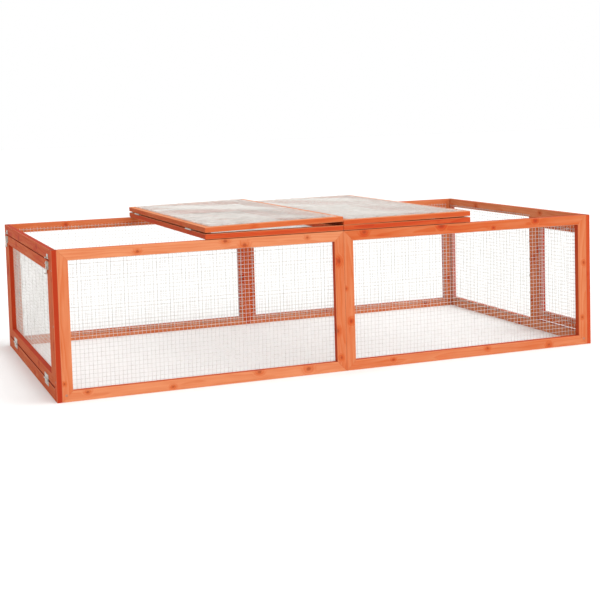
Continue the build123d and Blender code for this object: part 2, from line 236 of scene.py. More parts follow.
def nearest_knot(tree, point, log, knots):
    """How far a point is from the nearest knot: the distance over the knot's radius, with knots a
    third longer along the grain, plus a fine noise that makes their edges ragged. After it come
    how much the point is in the knot's core, and in the halo that the grain swings round."""
    ragged = add(tree, "ShaderNodeTexNoise", {
        "Vector": log,
        "Scale": 1 / knot_grit_mm,
        "Detail": 2.0,
    })
    nearest = 9.0                    # well outside any halo
    for x, y, radius in knots:
        away = add(tree, "ShaderNodeVectorMath", {
            0: point,
            1: (x, y, 0.0),
        }, operation="SUBTRACT")
        squeezed = add(tree, "ShaderNodeVectorMath", {
            0: away.outputs[0],
            1: (0.75 / radius, 1 / radius, 0.0),
        }, operation="MULTIPLY")
        reach = add(tree, "ShaderNodeVectorMath", {0: squeezed.outputs[0]}, operation="LENGTH")
        closer = add(tree, "ShaderNodeMath", {
            0: nearest,
            1: reach.outputs["Value"],
        }, operation="MINIMUM")
        nearest = closer.outputs[0]
    knot_reach = add(tree, "ShaderNodeMath", {
        0: ragged.outputs[0],
        1: 0.7,
        2: nearest,
    }, operation="MULTIPLY_ADD")
    core = add(tree, "ShaderNodeMapRange", {
        "Value": knot_reach.outputs[0],
        "From Min": 1.45,
        "From Max": 0.75,
    }, interpolation_type="SMOOTHSTEP")
    halo = add(tree, "ShaderNodeMapRange", {
        "Value": knot_reach.outputs[0],
        "From Min": 4.0,
        "From Max": 0.8,
    }, interpolation_type="SMOOTHERSTEP")
    return knot_reach.outputs[0], core.outputs[0], halo.outputs[0]


def drawn_out(tree, log, length_mm, width_mm, detail, roughness=0.5):
    """Unevenness that is drawn out along the grain, as all of a tree's is."""
    stretch = add(tree, "ShaderNodeMapping", {
        "Vector": log,
        "Scale": (1 / length_mm, 1 / width_mm, 1 / width_mm),
    })
    return add(tree, "ShaderNodeTexNoise", {
        "Vector": stretch.outputs[0],
        "Scale": 1.0,
        "Detail": detail,
        "Roughness": roughness,
    })


def growth_rings(tree, point, log, halo, seed):
    """How much latewood there is, from 0 to 1. Growth rings are circles about a pith line that
    runs beside the slat and drifts slowly along the log, so a ring's value is the distance to
    that line, and a knot's halo swings the rings out."""
    drift = drawn_out(tree, log, 260, 60, 3.0, 0.45)
    drifted = add(tree, "ShaderNodeVectorMath", {
        0: drift.outputs["Color"],
        1: (0.0, log_drift_mm, log_drift_mm),
        2: point,
    }, operation="MULTIPLY_ADD")
    pith_side = 9.0 * math.sin(2.1 * seed)
    pith_depth = 26.0 + 10.0 * math.cos(3.7 * seed)
    from_pith = add(tree, "ShaderNodeMapping", {
        "Vector": drifted.outputs[0],
        "Location": (0.0, pith_side, pith_depth),
        "Rotation": (0.0, 0.012 * math.sin(5.3 * seed), 0.010 * math.cos(4.1 * seed)),
    })
    cross = add(tree, "ShaderNodeVectorMath", {
        0: from_pith.outputs[0],
        1: (0.0, 1.0, 1.0),
    }, operation="MULTIPLY")
    pith_distance = add(tree, "ShaderNodeVectorMath", {0: cross.outputs[0]}, operation="LENGTH")
    swung = add(tree, "ShaderNodeMath", {
        0: halo,
        1: ring_swing_mm,
        2: pith_distance.outputs["Value"],
    }, operation="MULTIPLY_ADD")
    rings = add(tree, "ShaderNodeMath", {
        0: swung.outputs[0],
        1: ring_spacing_mm,
    }, operation="DIVIDE")
    ring = add(tree, "ShaderNodeMath", {0: rings.outputs[0]}, operation="FRACT")
    latewood = add(tree, "ShaderNodeValToRGB", {"Fac": ring.outputs[0]})
    ramp = latewood.color_ramp
    ramp.elements[0].color = (0.0, 0.0, 0.0, 1.0)
    ramp.elements[1].position = 1.0
    ramp.elements[1].color = (0.0, 0.0, 0.0, 1.0)
    for position, level in ((0.35, 0.12), (0.8, 0.75), (0.9, 0.9)):
        ramp.elements.new(position).color = (level, level, level, 1.0)
    return latewood.outputs[0]


def stain_colour(tree, depth):
    """The stain over pale earlywood at depth 0.1, and over dark latewood and sawn edges at 1."""
    stain = add(tree, "ShaderNodeValToRGB", {"Fac": depth})
    ramp = stain.color_ramp
    ramp.elements[0].position = 0.10
    ramp.elements[0].color = linear("CF885F")
    ramp.elements[1].position = 1.0
    ramp.elements[1].color = linear("A02F12")
    for position, colour in ((0.38, "C3724A"), (0.60, "BB592C"), (0.80, "B23D19")):
        ramp.elements.new(position).color = linear(colour)
    return stain.outputs[0]


def knot_colour(tree, knot_reach):
    """A knot's core: brown-red, with its own close rings."""
    rings = add(tree, "ShaderNodeMath", {0: knot_reach, 1: 17.0}, operation="MULTIPLY")
    wave = add(tree, "ShaderNodeMath", {0: rings.outputs[0]}, operation="SINE")
    level = add(tree, "ShaderNodeMapRange", {
        "Value": wave.outputs[0],
        "From Min": -1.0,
        "From Max": 1.0,
    })
    colour = add(tree, "ShaderNodeMix", {
        "Factor": level.outputs[0],
        6: linear("9A4022"),
        7: linear("7A2E16"),
    }, data_type="RGBA")
    return colour.outputs[2]


def arris_nearness(tree, point, half_mm):
    """1 along the arrises, where both y and z are near the slat's half sizes, and 0 elsewhere."""
    spread = add(tree, "ShaderNodeVectorMath", {0: point}, operation="ABSOLUTE")
    reach = add(tree, "ShaderNodeSeparateXYZ", {0: spread.outputs[0]})
    near_y, near_z = [
        add(tree, "ShaderNodeMapRange", {
            "Value": away,
            "From Min": half - arris_mm[0],
            "From Max": half - arris_mm[1],
        })
        for away, half in zip(reach.outputs[1:3], half_mm)
    ]
    arris = add(tree, "ShaderNodeMath", {
        0: near_y.outputs[0],
        1: near_z.outputs[0],
    }, operation="MULTIPLY")
    return arris.outputs[0]


def stained_fir(name, centre, turn, half_mm, knots, tone_and_shade, seed, frame_mm=None):
    """Softwood slats, planed and dipped in an orange-brown translucent stain. The eye gets long
    soft grain lines that swing round darker knots, redder sawn edges, dark end grain, and a thin
    pale line along the arrises, partly stain rubbed off and partly a painted highlight.

    Half_mm has the slat's half width and half thickness, and knots has the x, y and radius of
    each. A frame of four slats in one node gives frame_mm too, as slat_of_frame takes it."""
    material, tree, shader = new_material(name)
    place = add(tree, "ShaderNodeTexCoord")
    local = add(tree, "ShaderNodeMapping", {
        "Vector": place.outputs["Object"],
        "Location": centre,
        "Rotation": turn,
        "Scale": (MM, MM, MM),
    }, vector_type="TEXTURE")
    normal = add(tree, "ShaderNodeMapping", {
        "Vector": place.outputs["Normal"],
        "Rotation": turn,
    }, vector_type="TEXTURE")
    facing = add(tree, "ShaderNodeSeparateXYZ", {0: normal.outputs[0]})
    point, grain_facing, edge_facing = local.outputs[0], facing.outputs[0], facing.outputs[1]
    if frame_mm:
        point, grain_facing, edge_facing = slat_of_frame(tree, point, facing, frame_mm)

    # Each slat comes from its own part of the log.
    cut = add(tree, "ShaderNodeVectorMath", {
        0: point,
        1: (1900.0 * seed, 61.0 * seed, 37.0 * seed),
    }, operation="ADD")
    log = cut.outputs[0]
    knot_reach, core, halo = nearest_knot(tree, point, log, knots)
    latewood = growth_rings(tree, point, log, halo, seed)

    # Fibres, streaks and blotches where the stain took unevenly. Streaks are drawn 6 mm wide,
    # coarser than real ones, so that they show from a few metres.
    fibre = drawn_out(tree, log, 45, 1.1, 3.0, 0.6).outputs[0]
    streak = drawn_out(tree, log, 210, 6, 3.0, 0.55).outputs[0]
    blotch = drawn_out(tree, log, 130, 45, 2.0).outputs[0]
    edge_face = add(tree, "ShaderNodeMath", {0: edge_facing}, operation="ABSOLUTE").outputs[0]
    end_face = add(tree, "ShaderNodeMath", {0: grain_facing}, operation="ABSOLUTE").outputs[0]

    # How deep the stain looks: a weighted sum, in which a light tone takes some away. On the left
    # end's slats and the left door, the dark tone is partly painted shade of the side turned from the
    # light.
    depth = 0.02 - 0.30 * tone_and_shade
    for part, weight in (
        (latewood, 0.15),
        (fibre, 0.12),
        (streak, 0.34),
        (blotch, 0.26),
        (halo, 0.22),
        (edge_face, 0.36),
    ):
        deeper = add(tree, "ShaderNodeMath", {
            0: part,
            1: weight,
            2: depth,
        }, operation="MULTIPLY_ADD")
        depth = deeper.outputs[0]

    knot_cover = add(tree, "ShaderNodeMath", {0: core, 1: 0.7}, operation="MULTIPLY")
    with_knots = add(tree, "ShaderNodeMix", {
        "Factor": knot_cover.outputs[0],
        6: stain_colour(tree, depth),
        7: knot_colour(tree, knot_reach),
    }, data_type="RGBA")

    # End grain drinks more stain.
    end_cover = add(tree, "ShaderNodeMapRange", {
        "Value": end_face,
        "From Min": 0.75,
        "From Max": 0.95,
        "To Max": 0.8,
    })
    with_ends = add(tree, "ShaderNodeMix", {
        "Factor": end_cover.outputs[0],
        6: with_knots.outputs[2],
        7: linear("862F15"),
    }, data_type="RGBA")

    # A pale line along the arrises, in patches: partly stain rubbed off, partly a painted highlight.
    rub_and_highlight = add(tree, "ShaderNodeMath", {
        0: arris_nearness(tree, point, half_mm),
        1: blotch,
    }, operation="MULTIPLY")
    finished = add(tree, "ShaderNodeMix", {
        "Factor": rub_and_highlight.outputs[0],
        6: with_ends.outputs[2],
        7: linear("D49167"),
    }, data_type="RGBA")
    tree.links.new(finished.outputs[2], shader.inputs["Base Color"])

    roughness = add(tree, "ShaderNodeMapRange", {
        "Value": fibre,
        "From Min": 0.3,
        "From Max": 0.7,
        "To Min": 0.66,
        "To Max": 0.84,
    })
    tree.links.new(roughness.outputs[0], shader.inputs["Roughness"])
    shader.inputs["Specular IOR Level"].default_value = 0.12

    # Hard latewood and fibres stand proud of the planed face, and knots are sunk a little.
    relief_rings = add(tree, "ShaderNodeMath", {
        0: latewood,
        1: 0.6,
        2: fibre,
    }, operation="MULTIPLY_ADD")
    relief = add(tree, "ShaderNodeMath", {
        0: core,
        1: -0.5,
        2: relief_rings.outputs[0],
    }, operation="MULTIPLY_ADD")
    bump = add(tree, "ShaderNodeBump", {
        "Height": relief.outputs[0],
        "Strength": 0.5,
        "Distance": 0.25 * MM,
    })
    tree.links.new(bump.outputs[0], shader.inputs["Normal"])
    return material


def axes_turn(along, across, outward):
    """The rotation whose x, y and z are these three directions, as Euler angles."""
    return Matrix((along, across, outward)).transposed().to_euler()


# How a slat's own axes lie, by its grain axis and the side that its good face looks to.
grain_turns = {
    ("X", "-Y"): axes_turn((1, 0, 0), (0, 0, 1), (0, -1, 0)),
    ("X", "+Y"): axes_turn((-1, 0, 0), (0, 0, 1), (0, 1, 0)),
    ("Z", "-Y"): axes_turn((0, 0, 1), (-1, 0, 0), (0, -1, 0)),
    ("Z", "+Y"): axes_turn((0, 0, 1), (1, 0, 0), (0, 1, 0)),
    ("Z", "-X"): axes_turn((0, 0, 1), (0, 1, 0), (-1, 0, 0)),
    ("Z", "+X"): axes_turn((0, 0, 1), (0, -1, 0), (1, 0, 0)),
    ("Y", "-X"): axes_turn((0, -1, 0), (0, 0, 1), (-1, 0, 0)),
    ("Y", "+X"): axes_turn((0, 1, 0), (0, 0, 1), (1, 0, 0)),
}


def box_centre(node):
    """The middle of a CAD node's box."""
    low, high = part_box(node)
    return (low + high) / 2


def finish_node(node, material):
    """Give a CAD node one material, in all its slots."""
    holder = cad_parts[node]
    if not holder.material_slots:
        holder.data.materials.append(material)
    for slot in holder.material_slots:
        slot.material = material


wall_half = (slat_width_mm / 2, wall_slat_thickness_mm / 2)
end_half = (slat_width_mm / 2, end_slat_thickness_mm / 2)
sill_half = (sill_height_mm / 2, end_slat_thickness_mm / 2)
wide_half = (wide_slat_width_mm / 2, end_slat_thickness_mm / 2)

# Each straight slat: node, grain axis, outward side, half width and thickness, tone (light is
# positive; on the left end it is partly painted shade), and its knots.
slats = [
    ("front_left_top_rail", "X", "-Y", wall_half, 0.45,
     [(-215, -4, 5), (60, 9, 6), (122, -7, 6.5), (330, 3, 4)]),
    ("front_left_bottom_rail", "X", "-Y", wall_half, 0.4,
     [(-380, 8, 4.5), (158, 12, 6), (322, 4, 7), (-120, -5, 4)]),
    ("front_left_outer_stile", "Z", "-Y", wall_half, 0.05, [(-170, 9, 3)]),
    ("front_left_inner_stile", "Z", "-Y", wall_half, -0.1,
     [(130, 3, 6.5), (-93, 13, 6), (-180, 2, 4)]),
    ("front_right_top_rail", "X", "-Y", wall_half, -0.4,
     [(-383, 8, 6), (-106, 11, 6.5), (253, 7, 5), (90, -6, 3.5)]),
    ("front_right_bottom_rail", "X", "-Y", wall_half, 0.0, [(-290, 3, 4), (60, 7, 4.5), (300, -4, 5)]),
    ("front_right_outer_stile", "Z", "-Y", wall_half, -0.05, [(60, -6, 4.5), (-130, 2, 3.5)]),
    ("front_right_inner_stile", "Z", "-Y", wall_half, -0.1, [(-66, -3, 5), (40, 12, 3)]),
    ("rear_left_top_rail", "X", "+Y", wall_half, -0.2, [(250, 3, 5), (-90, -5, 6)]),
    ("rear_left_bottom_rail", "X", "+Y", wall_half, 0.1, [(310, -6, 5), (20, 4, 4)]),
    ("rear_left_outer_stile", "Z", "+Y", wall_half, 0.2, [(70, 4, 5)]),
    ("rear_left_inner_stile", "Z", "+Y", wall_half, -0.9, [(-40, -5, 6)]),
    ("rear_right_top_rail", "X", "+Y", wall_half, -0.2, [(-200, 6, 5), (170, -2, 6)]),
    ("rear_right_bottom_rail", "X", "+Y", wall_half, 0.0, [(-330, 2, 6), (120, 8, 4)]),
    ("rear_right_outer_stile", "Z", "+Y", wall_half, -0.2, [(-110, 3, 5)]),
    ("rear_right_inner_stile", "Z", "+Y", wall_half, -0.8, [(100, -6, 4)]),
    # The left end faces away from the light. Its deep tones are partly the wood's own and partly
    # painted shade.
    ("left_end_front_post", "Z", "-X", end_half, -0.9, [(-60, 5, 5), (140, -4, 4)]),
    ("left_end_rear_post", "Z", "-X", end_half, -0.9, [(50, -4, 5)]),
    ("left_end_top_rail", "Y", "-X", end_half, -1.0, [(230, 3, 5), (-150, -5, 6)]),
    ("left_end_bottom_rail", "Y", "-X", sill_half, -0.6, [(-280, 6, 6), (90, -7, 5)]),
    ("right_end_front_post", "Z", "+X", end_half, 0.0, [(20, 4, 5)]),
    ("right_end_rear_post", "Z", "+X", end_half, -0.2, [(-90, -5, 5)]),
    ("right_end_mid_post", "Z", "+X", wide_half, -0.1, [(40, 9, 7), (-120, -12, 5)]),
    ("right_end_top_rail", "Y", "+X", end_half, 0.1, [(-210, 4, 5), (260, -3, 6)]),
    ("right_end_bottom_rail", "Y", "+X", sill_half, 0.2, [(180, 5, 6), (-60, -8, 5)]),
]
for number, (node, grain, side, half_mm, tone_and_shade, knots) in enumerate(slats):
    finish_node(node, stained_fir(
        f"stained_fir_{node}", box_centre(node), grain_turns[grain, side], half_mm,
        knots, tone_and_shade, 1.0 + number,
    ))


def sheet_place(node):
    """Where a flat CAD sheet lies: its centre, its long, short and thin directions, and its
    three sizes. The directions are the principal axes of its corners, each turned to the
    positive side of the world axis that it is nearest to."""
    points, _ = node_points(node)
    centre = (points.max(axis=0) + points.min(axis=0)) / 2
    _, _, axes = np.linalg.svd(points - points.mean(axis=0), full_matrices=False)
    axes = [axis * np.sign(axis[np.argmax(np.abs(axis))]) for axis in axes]
    spans = [np.ptp((points - centre) @ axis) for axis in axes]
    return centre, axes, spans


# Each frame of four slats: node, its mesh, stile width, tone and seed. The left door's dark tone is
# partly painted shade.
frames = [
    ("roof_left_panel_frame", "roof_left_panel_mesh", slat_width_mm, 0.1, 31.0),
    ("roof_right_panel_frame", "roof_right_panel_mesh", slat_width_mm, 0.0, 33.0),
    ("left_lid_frame", "left_lid_mesh", slat_width_mm, 0.6, 35.0),
    ("right_lid_frame", "right_lid_mesh", slat_width_mm, 0.4, 37.0),
    # The left door faces away from the light. Its dark tone is partly painted shade.
    ("left_door_frame", "left_door_mesh", wide_slat_width_mm, -0.7, 39.0),
    ("right_door_frame", "right_door_mesh", slat_width_mm, -0.4, 41.0),
]
# Their knots: an x starts from the shift of its slat, which has the sign of the frame's side.
rail, stile = rail_shift_mm, stile_shift_mm
frame_knots = {
    "roof_left_panel_frame": [(rail + 60, 4, 5), (-rail - 90, -5, 5), (stile + 210, 3, 6)],
    "roof_right_panel_frame": [(-rail + 110, 2, 5), (stile - 160, -4, 6), (-stile + 260, 5, 5)],
    "left_lid_frame": [(-rail - 70, 3, 6), (stile + 120, -3, 5), (-stile - 230, 4, 6)],
    "right_lid_frame": [(-rail + 90, -2, 5), (-stile + 140, 5, 6), (stile - 300, 0, 5)],
    "left_door_frame": [(rail + 220, 2, 6), (-rail - 180, -4, 6), (stile + 60, 8, 8)],
    "right_door_frame": [(stile + 70, 3, 5), (-stile - 90, -4, 5)],
}
for node, mesh_node, stile_mm, tone_and_shade, seed in frames:
    # Rails run along u and stiles along v. Only the left door is longer along its rails.
    _, (u_axis, v_axis, _), (u_span, v_span, _) = sheet_place(mesh_node)
    if node != "left_door_frame":
        u_axis, v_axis, u_span, v_span = v_axis, u_axis, v_span, u_span
    half_u = u_span / 2 / MM + mesh_edge_inset_mm + stile_mm - slat_width_mm
    half_v = v_span / 2 / MM + mesh_edge_inset_mm
    finish_node(node, stained_fir(
        f"stained_fir_{node}", box_centre(node),
        axes_turn(u_axis, v_axis, np.cross(u_axis, v_axis)),
        (stile_mm / 2, end_slat_thickness_mm / 2),
        frame_knots[node], tone_and_shade, seed, (half_u, half_v, stile_mm, slat_width_mm),
    ))


# ================================================================ metals
def zinc_plate(name, colour, dull_colour, roughness_low, roughness_high):
    """Zinc-plated steel cut from strip: the eye gets a soft mirror-like grey with faint rolling
    lines, and cloudy patches where the passivation is thicker."""
    material, tree, shader = new_material(name)
    place = add(tree, "ShaderNodeTexCoord")
    cloud = add(tree, "ShaderNodeTexNoise", {
        "Vector": place.outputs["Object"],
        "Scale": 1 / (9 * MM),
        "Detail": 3.0,
    })
    strip = add(tree, "ShaderNodeMapping", {
        "Vector": place.outputs["Object"],
        "Scale": (1 / (0.5 * MM), 1 / (0.5 * MM), 1 / (14 * MM)),
    })
    lines = add(tree, "ShaderNodeTexNoise", {
        "Vector": strip.outputs[0],
        "Scale": 1.0,
        "Detail": 2.0,
    })
    tint = add(tree, "ShaderNodeMix", {
        "Factor": cloud.outputs[0],
        6: linear(colour),
        7: linear(dull_colour),
    }, data_type="RGBA")
    tree.links.new(tint.outputs[2], shader.inputs["Base Color"])
    worn = add(tree, "ShaderNodeMapRange", {
        "Value": cloud.outputs[0],
        "From Min": 0.3,
        "From Max": 0.7,
        "To Min": roughness_low,
        "To Max": roughness_high,
    })
    tree.links.new(worn.outputs[0], shader.inputs["Roughness"])
    bump = add(tree, "ShaderNodeBump", {
        "Height": lines.outputs[0],
        "Strength": 0.3,
        "Distance": 0.05 * MM,
    })
    tree.links.new(bump.outputs[0], shader.inputs["Normal"])
    shader.inputs["Metallic"].default_value = 1.0
    return material


def galvanised_wire():
    """Welded mesh dipped in molten zinc: a soft light grey metal, with duller grey patches and
    tiny runs that catch the light unevenly from wire to wire."""
    material, tree, shader = new_material("galvanised_wire")
    place = add(tree, "ShaderNodeTexCoord")
    patches = add(tree, "ShaderNodeTexNoise", {
        "Vector": place.outputs["Object"],
        "Scale": 1 / (22 * MM),
        "Detail": 3.0,
    })
    grains = add(tree, "ShaderNodeTexVoronoi", {
        "Vector": place.outputs["Object"],
        "Scale": 1 / (1.6 * MM),
    })
    tint = add(tree, "ShaderNodeMix", {
        "Factor": patches.outputs[0],
        6: linear("E0DEDA"),
        7: linear("B4B0AB"),
    }, data_type="RGBA")
    tree.links.new(tint.outputs[2], shader.inputs["Base Color"])
    dullness = add(tree, "ShaderNodeMapRange", {
        "Value": patches.outputs[0],
        "From Min": 0.3,
        "From Max": 0.7,
        "To Min": 0.34,
        "To Max": 0.54,
    })
    tree.links.new(dullness.outputs[0], shader.inputs["Roughness"])
    bump = add(tree, "ShaderNodeBump", {
        "Height": grains.outputs["Distance"],
        "Strength": 0.4,
        "Distance": 0.08 * MM,
    })
    tree.links.new(bump.outputs[0], shader.inputs["Normal"])
    shader.inputs["Metallic"].default_value = 1.0
    return material


bright_zinc = zinc_plate("bright_zinc_plate", "D6D5CE", "ABA9A1", 0.22, 0.42)
screw_zinc = zinc_plate("dull_zinc_screws", "A8A49B", "6F6B63", 0.32, 0.5)
wire = galvanised_wire()
for node in (
    "fixed_hinge_leaves", "left_lid_hinge_leaves", "right_lid_hinge_leaves",
    "left_door_hinge_leaves", "right_door_hinge_leaves", "hinge_pins", "bolt_keepers",
    "left_door_bolt_plates", "right_door_bolt_plate",
    "left_front_bolt_rod", "left_rear_bolt_rod", "right_bolt_rod",
):
    finish_node(node, bright_zinc)


# ================================================================ welded mesh
def tubes(paths, radius, sides):
    """Round wires. Paths has one row of points for each wire; each wire's rings lie across its
    run, on two directions square to it, and a centre point closes each end."""
    count, steps, _ = paths.shape
    run = paths[:, -1] - paths[:, 0]
    run = run / np.linalg.norm(run, axis=1, keepdims=True)
    helper = np.where(np.abs(run[:, 2:3]) < 0.9, [[0.0, 0.0, 1.0]], [[1.0, 0.0, 0.0]])
    first = np.cross(run, helper)
    first /= np.linalg.norm(first, axis=1, keepdims=True)
    second = np.cross(run, first)
    angle = np.arange(sides) * 2 * math.pi / sides
    ring = (
        np.cos(angle)[None, None, :, None] * first[:, None, None, :]
        + np.sin(angle)[None, None, :, None] * second[:, None, None, :]
    ) * radius
    rings = (paths[:, :, None, :] + ring).reshape(count, steps * sides, 3)
    points = np.concatenate([rings, paths[:, :1], paths[:, -1:]], axis=1)
    step = np.arange(steps - 1)[:, None] * sides
    here = np.arange(sides)[None, :]
    after = (here + 1) % sides
    quads = np.stack([step + here, step + after, step + after + sides, step + here + sides], axis=-1)
    quads = quads.reshape(-1, 4)
    walls = np.concatenate([quads[:, [0, 1, 2]], quads[:, [0, 2, 3]]])
    start = np.stack([np.full(sides, steps * sides), after[0], here[0]], axis=-1)
    last = (steps - 1) * sides
    end = np.stack([np.full(sides, steps * sides + 1), last + here[0], last + after[0]], axis=-1)
    one = np.concatenate([walls, start, end])
    offset = np.arange(count)[:, None, None] * (steps * sides + 2)
    return points.reshape(-1, 3), (one[None] + offset).reshape(-1, 3)


bead_points = np.array(
    [(1, 0, 0), (-1, 0, 0), (0, 1, 0), (0, -1, 0), (0, 0, 1), (0, 0, -1)], float
)
bead_faces = np.array([
    (0, 2, 4), (2, 1, 4), (1, 3, 4), (3, 0, 4), (2, 0, 5), (1, 2, 5), (3, 1, 5), (0, 3, 5),
])


def bulge(u, v, half_u, half_v, waves):
    """How far the sheet stands out of flat: the sum of a few slow sine waves, times a smooth step
    that is 0 where the sheet lies on the slats and 1 a little way inside them."""
    fade = 1.0
    for across, half in ((u, half_u), (v, half_v)):
        inside = np.clip((half - mesh_seat - np.abs(across)) / mesh_fade, 0, 1)
        fade = fade * inside * inside * (3 - 2 * inside)
    height = sum(size * np.sin(fu * u + fv * v + phase) for size, fu, fv, phase in waves)
    return height * fade


def wire_sheet(node, body, wood_side, seed):
    """Welded mesh in place of a flat CAD sheet. Points of the sheet are a grid of u along, v
    across and w out of it. The wires of one direction lie on the wood and those of the other on
    them, sunk into each other as welding leaves them, with a bead of zinc at each crossing."""
    random = np.random.default_rng(seed)
    centre, (u_axis, v_axis, w_axis), (u_span, v_span, thickness) = sheet_place(node)
    w_axis = w_axis * wood_side
    layer = thickness / 2 - wire_radius
    half_u, half_v = u_span / 2, v_span / 2
    # Slow waves: the height, the radians in a metre along u and v, and the phase of each.
    waves = []
    for _ in range(4):
        height = random.uniform(0.5, 1.0) * MM
        waves.append((height, random.uniform(4, 16), random.uniform(4, 16), random.uniform(0, 6.3)))
    count_u = int((u_span - 4 * wire_radius) / mesh_pitch)
    count_v = int((v_span - 4 * wire_radius) / mesh_pitch)
    grid_u = (np.arange(count_u + 1) - count_u / 2) * mesh_pitch
    grid_v = (np.arange(count_v + 1) - count_v / 2) * mesh_pitch
    reach_u = np.concatenate([[-half_u + wire_radius], grid_u, [half_u - wire_radius]])
    reach_v = np.concatenate([[-half_v + wire_radius], grid_v, [half_v - wire_radius]])

    def wires(reach, grid, swap, level):
        """Wires that run through reach at each place in grid, a little uneven sideways."""
        run, place = np.meshgrid(reach, grid)
        place = place + random.normal(0, wire_jitter, place.shape)
        place = place + random.normal(0, wire_shift, (len(grid), 1))
        u, v = (place, run) if swap else (run, place)
        w = level + bulge(u, v, half_u, half_v, waves)
        paths = centre + u[..., None] * u_axis + v[..., None] * v_axis + w[..., None] * w_axis
        return tubes(paths, wire_radius, wire_sides)

    lower_points, lower_faces = wires(reach_u, grid_v, False, layer)
    upper_points, upper_faces = wires(reach_v, grid_u, True, -layer)
    u, v = [a.ravel() for a in np.meshgrid(grid_u, grid_v)]
    w = bulge(u, v, half_u, half_v, waves)
    middles = centre + u[:, None] * u_axis + v[:, None] * v_axis + w[:, None] * w_axis
    size = wire_radius * random.uniform(1.2, 1.55, len(middles))
    axes = np.stack([u_axis, v_axis, w_axis])
    beads = (middles[:, None] + size[:, None, None] * (bead_points @ axes)[None]).reshape(-1, 3)
    corners = bead_faces[:, ::-1] if np.linalg.det(axes) < 0 else bead_faces
    first_corner = np.arange(len(middles))[:, None, None] * len(bead_points)
    bead_tris = (corners[None] + first_corner).reshape(-1, 3)
    points = np.concatenate([lower_points, upper_points, beads])
    faces = np.concatenate([
        lower_faces,
        upper_faces + len(lower_points),
        bead_tris + len(lower_points) + len(upper_points),
    ])
    piece = new_piece(node.replace("mesh", "wires"), points, faces, wire, body, True)
    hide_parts(node)
    staples(node.replace("mesh", "staples"), body, centre, (u_axis, v_axis, w_axis),
            (half_u - staple_inset, half_v - staple_inset), thickness, random)


def staples(name, body, centre, axes, half, thickness, random):
    """Flat-wire staples round the edge of a sheet. Each is a crown across the mesh's outer face
    with two legs into the wood: a box section carried along three straight runs. Half has the
    half sizes of the rectangle that the staples stand on."""
    u_axis, v_axis, w_axis = axes
    places = []
    for along, across, run, side in (
        (half[0], half[1], u_axis, v_axis),
        (half[1], half[0], v_axis, u_axis),
    ):
        number = max(2, int(2 * along / staple_spacing))
        spots = (np.arange(number) + 0.5) / number * 2 - 1
        for sign in (-1, 1):
            shift = random.uniform(-staple_stray, staple_stray, number)
            for spot, move in zip(spots, shift):
                places.append((centre + run * (spot * along + move) + side * sign * across, run, side))
    where = np.array([p[0] for p in places])
    run = np.array([p[1] for p in places])
    side = np.array([p[2] for p in places])
    swing = random.normal(0, staple_swing, len(places))[:, None]
    run = run * np.cos(swing) + side * np.sin(swing)
    side = np.cross(np.broadcast_to(w_axis, run.shape), run)
    # The profile's outer and inner lines from one leg's tip, over the crown, to the other's.
    flat = []
    for inset in (0.0, staple_thickness):
        wide = staple_crown / 2 - inset
        top = -thickness / 2 - staple_thickness + inset
        flat += [(-wide, staple_leg), (-wide, top), (wide, top), (wide, staple_leg)]
    flat = np.array(flat)
    local = flat[None, :, 0:1] * run[:, None, :] + flat[None, :, 1:2] * w_axis
    points = np.concatenate([
        where[:, None] + local - side[:, None] * staple_half_width,
        where[:, None] + local + side[:, None] * staple_half_width,
    ], axis=1).reshape(-1, 3)
    # Corners 0 to 3 are the outer line and 4 to 7 the inner one, and 8 to 15 are the same at the
    # other side of the wire.
    quads = []
    for i in range(3):
        quads += [(i, i + 1, i + 5, i + 4), (i + 8, i + 12, i + 13, i + 9)]
        quads += [(i, i + 8, i + 9, i + 1), (i + 4, i + 5, i + 13, i + 12)]
    quads += [(0, 4, 12, 8), (3, 11, 15, 7)]
    first_corner = np.arange(len(places))[:, None, None] * 2 * len(flat)
    faces = (np.array(quads)[None] + first_corner).reshape(-1, 4)
    piece = new_piece(name, points, faces, screw_zinc, body)
    recalculate(piece)


def recalculate(piece):
    """Turn every face of a closed mesh outwards."""
    work = bmesh.new()
    work.from_mesh(piece.data)
    bmesh.ops.recalc_face_normals(work, faces=work.faces)
    work.to_mesh(piece.data)
    work.free()


# Each sheet: node, body, and the side of its thin direction that the wood is on.
sheets = [
    ("front_left_mesh", "run", -1),
    ("front_right_mesh", "run", -1),
    ("rear_left_mesh", "run", 1),
    ("rear_right_mesh", "run", 1),
    ("right_end_mesh", "run", 1),
    ("left_door_mesh", "left_door", -1),
    ("right_door_mesh", "right_door", 1),
    ("roof_left_panel_mesh", "run", 1),
    ("roof_right_panel_mesh", "run", 1),
    ("left_lid_mesh", "left_lid", -1),
    ("right_lid_mesh", "right_lid", -1),
]
for number, (node, body, wood_side) in enumerate(sheets):
    wire_sheet(node, body, wood_side, 40 + number)


# ================================================================ screws
spokes = 24
# The rest are shares of the head's radius.
head_rings = np.array([0.12, 0.3, 0.45, 0.62, 0.8, 1.0])
dome_rise = 0.06
slot_half_width = 0.17
slot_reach = 0.6
slot_depth = 0.34
pit_depth = 0.36


